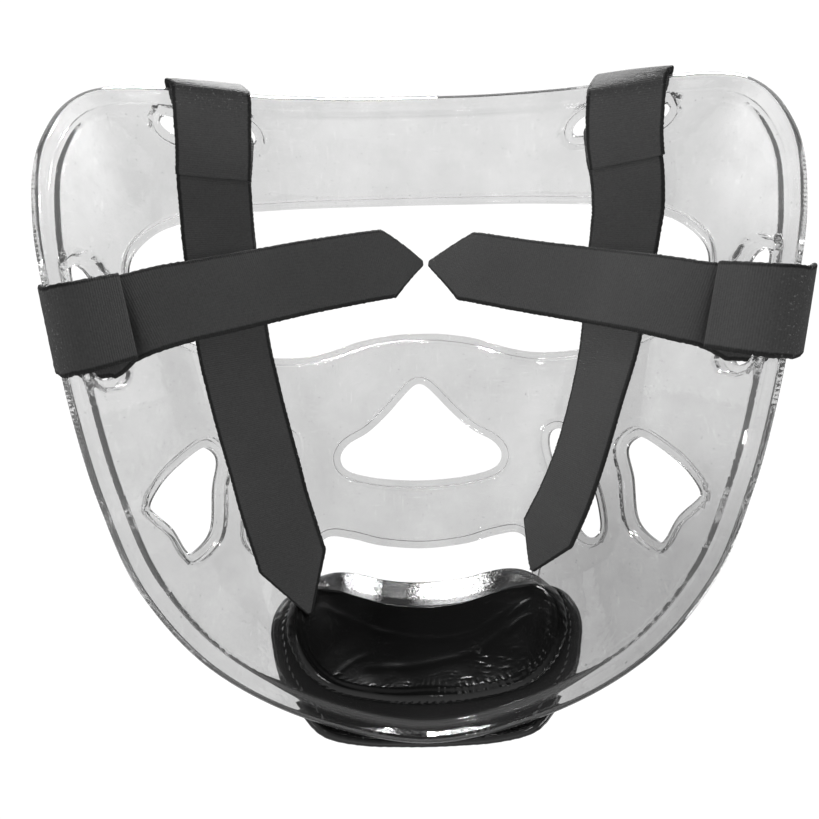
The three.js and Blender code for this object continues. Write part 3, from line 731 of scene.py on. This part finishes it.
slow = slow + ripple(face_y * 0.2 - face_x * 0.04, 6) * 0.08
high = high + slow * ramp(inset, 1, 8)
crisp = RIDGE_CRISP * (1 - np.exp(-(inset / RIDGE_CRISP) ** 2)) - RIDGE_CRISP
face_high = high + crisp * (1 - sewn)

# %% The cushion's sides and base
BASE_HIGH = 0.9   # the cushion's back lies this far off the wall
side_share = np.linspace(0, 1, 30)[1:-1][:, None]
side_flat = foot + (ridge - foot)[None] * side_share[..., None]
late = 0.42 * side_share + 0.58 * side_share ** 5   # the high side starts flat and ends steep
side_high = BASE_HIGH + (face_high[0] - BASE_HIGH) * (sewn * side_share + (1 - sewn) * late)
side_away = unit(side_flat - CUSHION_MIDDLE)
corner_left = around(side_flat[..., 0], side_flat[..., 1], (-38, -70), (3.6, 12))
corner_right = around(side_flat[..., 0], side_flat[..., 1], (36, -70), (6, 12))
swell = np.sin(np.pi * side_share)
wrinkle = 0.3 * sewn * ripple(loop_run * 2.0 + side_share * 5, 3, 3)
puff = (0.2 + 0.5 * sewn + 3.4 * corner_left + 1.8 * corner_right + wrinkle) * swell
side_flat = side_flat + side_away * puff[..., None]
side_high = side_high + 1.6 * (corner_left + corner_right) * swell * (1 - sewn)
base_share = np.linspace(0.03, 1, 12)[:, None, None]
base_flat = CUSHION_MIDDLE + (foot - CUSHION_MIDDLE)[None] * base_share
base_high = np.full(base_flat.shape[:2], BASE_HIGH)
flat = np.concatenate([base_flat, side_flat, face_flat])
high = np.concatenate([base_high, side_high, face_high])
cushion_points = skin(flat[..., 0], flat[..., 1], -high)
cushion = piece("cushion", cushion_points.reshape(-1, 3),
                capped_faces(len(flat), CUSHION_COLUMNS), "black_vinyl")
grain = np.concatenate([np.zeros(base_high.shape), np.broadcast_to(1 - sewn, side_high.shape),
                        np.zeros(face_high.shape)])
give(cushion, "grained", grain)
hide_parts("chin_cushion")

# %% [markdown]
# ## The cover outside the chin
#
# A padded vinyl cover lies on the outside of the chin. A folded strip, the binding, wraps
# its edge, with a row of stitches on each face. Both are profiles led round one loop.

# %% The cover and its binding
COVER = [  # x and y of the binding's outer edge, from the mouth to the rim
    (0, -76), (25, -74.6), (42, -69.6), (49.4, -69.6), (52.8, -73.3), (53.4, -78),
    (52.2, -83.2), (49.2, -91.2), (43.2, -99.2), (36.7, -106), (30, -109.8), (20, -112.8),
    (10, -114.4), (0, -115),
]
COVER_MIDDLE = np.array([0, -92])
COVER_ROWS, COVER_COLUMNS, BINDING_ROWS = 60, 420, 44
BINDING_WIDTH = 5.5
BINDING_PROFILE = [  # distance out from the edge, and distance outside the wall
    (-5.6, 6.2), (-5.3, 5.5), (-4.6, 5.2), (-2.6, 5.6), (-1, 5.2), (-0.2, 5.7), (0.2, 6.6),
    (0, 7.1), (0.25, 7.7), (0.05, 8.5), (-0.6, 9.1), (-2.6, 8.8), (-4.6, 9.2), (-5.4, 8.9),
    (-5.7, 8),
]
COVER_PROFILE = [    # share of the way out from the middle, and distance outside the wall
    (0.3, 5.4), (0.6, 5.4), (0.95, 5.7), (1, 6.4), (1, 7.6), (0.985, 8.6), (0.95, 9.1),
    (0.75, 10), (0.35, 10.4), (0.0, 10.4),
]
cover_loop = clockwise(even_loop(whole_loop(COVER), COVER_COLUMNS))
cover_inner = grown(cover_loop, -BINDING_WIDTH)
share, out = curve_at(COVER_PROFILE, np.linspace(0, len(COVER_PROFILE) - 1, COVER_ROWS)).T
flat = COVER_MIDDLE + (cover_inner - COVER_MIDDLE)[None] * share[:, None, None]
cover_rings = skin(flat[..., 0], flat[..., 1], out[:, None])
cover = piece("cover", cover_rings.reshape(-1, 3),
              grid_faces(COVER_ROWS, COVER_COLUMNS, tube=True), "black_vinyl")
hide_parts("chin_cover")
section = even_loop(np.array(BINDING_PROFILE, float), BINDING_ROWS)
pucker = 0.12 * ripple(run_along(skin(*cover_loop.T, 7)) * 1.1, 41, 4)
binding_rings = np.stack([skin(*grown(cover_loop, away).T, out + pucker) for away, out in section])
binding = piece("binding", binding_rings.reshape(-1, 3),
                grid_faces(BINDING_ROWS, COVER_COLUMNS, ring=True, tube=True), "black_vinyl")
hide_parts("chin_cover_binding")

# %% Stitches of the binding
PITCH, LENGTH, THICK, SLANT = 3.0, 2.3, 0.33, 0.25   # of the stitches
DEPTH = 2.9         # of a row of stitches, in from the binding's edge
OUT = (5.25, 9.15)  # of the two rows, outside the wall
SIDES = 6           # rows and columns of a stitch


def stitch_row(loop, out):
    """Short threads along a loop: each is a long bead, turned a little from the loop."""
    line = skin(*loop.T, out)
    run = run_along(line)
    at = np.arange(PITCH / 2, run[-1], PITCH)
    place = read_at(at, run, line)
    ahead = unit(read_at(at + 0.5, run, line) - place)
    up = outward(*read_at(at, run, loop).T)
    aside = unit(np.cross(up, ahead))
    ahead = unit(ahead + aside * SLANT)
    aside = unit(np.cross(up, ahead))
    a, b = np.meshgrid(np.linspace(0.15, np.pi - 0.15, SIDES),
                       np.arange(SIDES) / SIDES * 2 * np.pi, indexing="ij")
    bead = np.stack([np.cos(a) * LENGTH / 2, np.sin(a) * np.cos(b) * THICK,
                     np.sin(a) * np.sin(b) * THICK], axis=-1).reshape(-1, 3)
    points = place[:, None] + bead @ np.stack([ahead, aside, up], axis=1)
    faces, size = grid_faces(SIDES, SIDES, tube=True), len(bead)
    ends = [list(range(SIDES))[::-1], list(range(size - SIDES, size))]
    joined = (faces[None] + np.arange(len(at))[:, None, None] * size).reshape(-1, 4).tolist()
    joined += [[v + size * k for v in end] for k in range(len(at)) for end in ends]
    return points.reshape(-1, 3), joined


threads, thread_faces = [], []
for out in OUT:
    points, faces = stitch_row(grown(cover_loop, -DEPTH), out)
    thread_faces += [[v + sum(map(len, threads)) for v in face] for face in faces]
    threads.append(points)
stitches = piece("binding_stitches", np.vstack(threads), thread_faces, "black_vinyl")

# %% [markdown]
# ## Shader maths in Python
#
# A material is a graph of nodes. Here a socket is wrapped in a small class, so that a
# sum of two sockets adds a Math node. Every other node comes from one method.

# %% Sockets with operators
def operator(name):
    """A method that joins a socket and a number, or two sockets, in a Math node."""
    return lambda self, other: self.math(name, other)


class Field:
    """A shader socket that takes part in Python expressions."""

    def __init__(self, finish, socket):
        self.finish, self.socket = finish, socket

    def math(self, operation, *values):
        return self.finish.node("Math", {"operation": operation}, [self, *values])

    def __rsub__(self, other):
        return self.finish.node("Math", {"operation": "SUBTRACT"}, [other, self])

    __add__ = __radd__ = operator("ADD")
    __mul__ = __rmul__ = operator("MULTIPLY")
    __sub__, __truediv__, __pow__ = map(operator, ("SUBTRACT", "DIVIDE", "POWER"))

    def between(self, low, high):
        """0 below low, 1 above high, smooth between them."""
        return self.finish.node("MapRange", {"interpolation_type": "SMOOTHSTEP"},
                                {"Value": self, "From Min": low, "From Max": high})


class Finish:
    """A material, or the sky, under construction."""

    def __init__(self, name, coords="Object", store=bpy.data.materials, out="OutputMaterial"):
        self.material = store.new(name)
        self.material.use_nodes = True
        self.tree = self.material.node_tree
        self.tree.nodes.clear()
        self.out = self.tree.nodes.new("ShaderNode" + out)
        self.coords = self.node("TexCoord", want=coords)

    def node(self, kind, settings=None, values=None, want=0):
        """Adds a node: settings first, then its sockets' values or links."""
        node = self.tree.nodes.new("ShaderNode" + kind)
        for key, value in (settings or {}).items():
            setattr(node, key, value)
        items = values.items() if isinstance(values, dict) else enumerate(values or [])
        for key, value in items:
            if isinstance(value, Field):
                self.tree.links.new(value.socket, node.inputs[key])
            else:
                node.inputs[key].default_value = value
        return Field(self, node.outputs[want])

    def axis(self, name):
        """One of the material's coordinates."""
        return self.node("SeparateXYZ", {}, [self.coords], want=name)

    def stored(self, name):
        """The number that the piece's points hold under a name."""
        return self.node("Attribute", {"attribute_name": name}, want="Fac")

    def noise(self, scale, detail=3, rough=0.5, stretch=(1, 1, 1), space=None):
        """Noise in lumps per metre on the material's coordinates, or on those given."""
        at = self.node("Mapping", {}, {"Vector": space or self.coords, "Scale": stretch})
        return self.node("TexNoise", {}, {
            "Vector": at, "Scale": scale, "Detail": detail, "Roughness": rough})

    def patch(self, x, y, middle, reach):
        """1 in the middle of an ellipse and 0 outside it, smooth between them."""
        away = ((x - middle[0]) / reach[0]) ** 2 + ((y - middle[1]) / reach[1]) ** 2
        return 1 - away.between(0, 1)

    def grey(self, value):
        """A number as a grey colour."""
        return self.node("CombineColor", {}, [value, value, value])

    def surface(self, bump=None, strength=1.0, distance=0.001, **values):
        """The main shader, with a bump if there is one."""
        values = {key.replace("_", " "): value for key, value in values.items()}
        if bump is not None:
            values["Normal"] = self.node(
                "Bump", {}, {"Strength": strength, "Distance": distance, "Height": bump})
        return self.node("BsdfPrincipled", {}, values)

    def done(self, shader, *pieces):
        """Links the shader to the output and puts the material on pieces."""
        self.tree.links.new(shader.socket, self.out.inputs["Surface"])
        for item in pieces:
            item.data.materials.clear()
            item.data.materials.append(self.material)

# %% [markdown]
# ## Finishes
#
# The sheet is clear, with a faint mottle, scratches and specks, and painted shade makes its
# tint lighter towards the forehead and darker to the right and in the lower right corner,
# with a painted highlight inside the rim near each top corner. The cloth has ribs across it,
# dark woven edges and pale flecks in its fuzz. The vinyl is glossy, and on the cushion's high
# side two patches of pale metallic flecks in its coarse grain are painted glints.

# %% Clear sheet
clear = Finish("clear_sheet")
place, across = clear.axis("Y"), clear.axis("X")
mottle = clear.noise(34, 6, 0.66)
# Painted shade: the corner patch darkens the tint in the lower right.
corner = clear.patch(across, place, (0.085, -0.075), (0.06, 0.065))
# Painted highlight: a pale band inside the rim near each top corner.
painted_highlight = clear.patch(across.math("ABSOLUTE"), place, (0.107, 0.078), (0.008, 0.035))
scratch = clear.noise(150, 2, 0.5, stretch=(7, 1, 1)).between(0.67, 0.72) + clear.noise(
    170, 2, 0.5, stretch=(1, 8, 1)).between(0.67, 0.72)
speck = clear.noise(900, 1).between(0.74, 0.78)
# Painted shade in the tint: lighter towards the forehead, darker to the right and in the corner.
tint_and_painted_light = 0.65 + 0.26 * (mottle - 0.5) + 0.6 * place - 0.2 * corner - 0.25 * across
tint_and_painted_light = tint_and_painted_light + 0.16 * painted_highlight * (0.4 + mottle) + 0.07 * scratch - 0.25 * speck
clear.done(clear.surface(
    bump=clear.noise(160, 2), strength=0.06, distance=0.001, Base_Color=clear.grey(tint_and_painted_light),
    Roughness=0.04, IOR=1.5, Transmission_Weight=0.95), shell)

# %% Hook-and-loop cloth
cloth = Finish("tape_cloth", "UV")
across, run = cloth.axis("X"), cloth.axis("Y") * TAPE_WIDTH
ribs = (run * 8.4 + cloth.noise(6, 2, stretch=(1, 25, 1)) * 3).math("SINE")
space, nap = cloth.node("TexCoord", want="Object"), cloth.stored("nap")
speck = cloth.noise(1500, 2, space=space)
patch = cloth.noise(60, 4, space=space)
fleck = cloth.noise(1300, 2, space=space).between(0.58, 0.74)
selvedge = (across * across).between(0.86, 0.97)
weave = 0.06 + 0.003 * ribs + 0.034 * (speck - 0.5) + 0.012 * (patch - 0.5)
weave = weave * (1 - 0.7 * selvedge) + 0.1 * nap * fleck
rough = ribs * 0.25 + speck + nap * fleck * 2
cloth.done(cloth.surface(
    bump=rough, strength=0.5, distance=0.0003, Base_Color=cloth.grey(weave), Roughness=0.95,
    Specular_IOR_Level=0.12), *tapes)

# %% Black vinyl
vinyl = Finish("black_vinyl")
grained = vinyl.stored("grained")
leather = vinyl.node("TexVoronoi", {}, {"Vector": vinyl.coords, "Scale": 1300})
pores = leather * (0.06 + 1.0 * grained) + vinyl.noise(420, 3) * (0.15 + 0.35 * grained)
spot = vinyl.axis("X")
# Painted glints: two patches of pale metallic flecks in the grain of the high side stand in for its
# highlights.
painted_glint_patch_left = (1 - ((spot + 0.025) / 0.009) ** 2).math("MAXIMUM", 0)
painted_glint_patch_right = (1 - ((spot - 0.011) / 0.019) ** 2).math("MAXIMUM", 0)
painted_glint_patches = painted_glint_patch_left + painted_glint_patch_right
painted_sparkle = vinyl.noise(1500, 2, 0.8) * (0.75 + 0.25 * vinyl.noise(150, 2))
painted_glints = grained * (painted_glint_patches * 0.3 + painted_sparkle).between(0.52, 0.74) * painted_glint_patches.between(0, 0.4)
vinyl.done(vinyl.surface(
    bump=pores, strength=0.6, distance=0.0003, Base_Color=vinyl.grey(0.005 + 0.85 * painted_glints),
    Metallic=painted_glints, Roughness=0.15, Specular_IOR_Level=0.27), cushion, cover, binding)

# %% Stitching thread
thread = Finish("thread")
thread.done(thread.surface(Base_Color=(0.16, 0.16, 0.16, 1), Roughness=0.4), stitches)

# %% [markdown]
# ## Table, light and camera
#
# The table is a light table, which shines white. The sky is bright high up and darker
# near the horizon, behind and to the right, so that clear edges and vinyl have something
# dark to show. Lamps and low windows give the highlights, except the painted highlight on
# the sheet and the painted glints on the vinyl, and the two windows behind the mask show in
# gloss alone. The camera looks straight down.

# %% Table
TABLE_REACH, TABLE_LOW = 6000, -0.3
table = piece("table", [(x * TABLE_REACH, y * TABLE_REACH, TABLE_LOW)
                        for x, y in ((-1, -1), (1, -1), (1, 1), (-1, 1))], [(0, 1, 2, 3)])
paper = Finish("white_table")
paper.done(paper.surface(
    Base_Color=(0, 0, 0, 1), Roughness=1.0, Specular_IOR_Level=0.0,
    Emission_Color=(1, 1, 1, 1), Emission_Strength=1.04), table)

# %% Sky
SKY = [(0.0, 0.25), (0.12, 0.5), (0.35, 1.2), (0.75, 1.2), (1.0, 0.7)]  # height, light
BEHIND = (0.1, 1.0, 0.5, 0.1)    # from one share of the way back to another: share of light
BESIDE = (0.2, 1.0, 0.55, 0.3)   # the same to the right
sky = Finish("studio", "Generated", bpy.data.worlds, "OutputWorld")
bpy.context.scene.world = sky.material
shade = sky.node("ValToRGB", {}, [sky.axis("Z")])
stops = shade.socket.node.color_ramp.elements
while len(stops) < len(SKY):
    stops.new(1)
for stop, (height, light) in zip(stops, SKY):
    stop.position, stop.color = height, (light, light, light, 1)
back, right = (sky.node("MapRange", {}, {
    "Value": sky.axis(axis), **dict(zip(("From Min", "To Min", "From Max", "To Max"), shares))})
    for axis, shares in (("Y", BEHIND), ("X", BESIDE)))
sky.done(sky.node("Background", {}, {"Color": shade, "Strength": back * right}))
print("the sky has", len(SKY), "shades")

# %% Lamps and windows
AIM = Vector((0, 0, 30))


def panel(name, at, wide, high, radiance, only_gloss=False):
    """A soft light aimed at the mask. Its power is radiance * pi * area."""
    light = bpy.data.lights.new(name, "AREA")
    light.shape, light.size, light.size_y = "RECTANGLE", wide * MM, high * MM
    light.energy = radiance * math.pi * wide * high * MM ** 2
    item = bpy.data.objects.new(name, light)
    bpy.context.scene.collection.objects.link(item)
    item.location = Vector(at) * MM
    item.visible_diffuse = not only_gloss
    item.rotation_euler = (AIM - Vector(at)).to_track_quat("-Z", "Y").to_euler()


panel("window_behind_right", (135, 240, 15), 70, 26, 320, only_gloss=True)
panel("window_behind_left", (-60, 240, 15), 150, 26, 320, only_gloss=True)
panel("lamp_above", (-160, -310, 1200), 60, 60, 130)
panel("window_right", (900, -850, 170), 500, 180, 14)
panel("window_left", (-900, -850, 170), 200, 180, 3)
panel("lamp_left", (-700, 500, 1000), 160, 160, 9)

# %% Camera
FOCUS, SENSOR = 700 / 819, 36    # focal length in widths of the picture; its width in mm
camera = bpy.data.cameras.new("camera")
camera.lens, camera.sensor_width = FOCUS * SENSOR, SENSOR
camera.clip_start = 0.01
eye = bpy.data.objects.new("camera", camera)
bpy.context.scene.collection.objects.link(eye)
eye.location = (-4.4 * MM, 0, 301 * MM)
eye.rotation_euler = (0, 0, math.radians(-1.4))
bpy.context.scene.camera = eye
bpy.context.scene.view_settings.view_transform = "Standard"
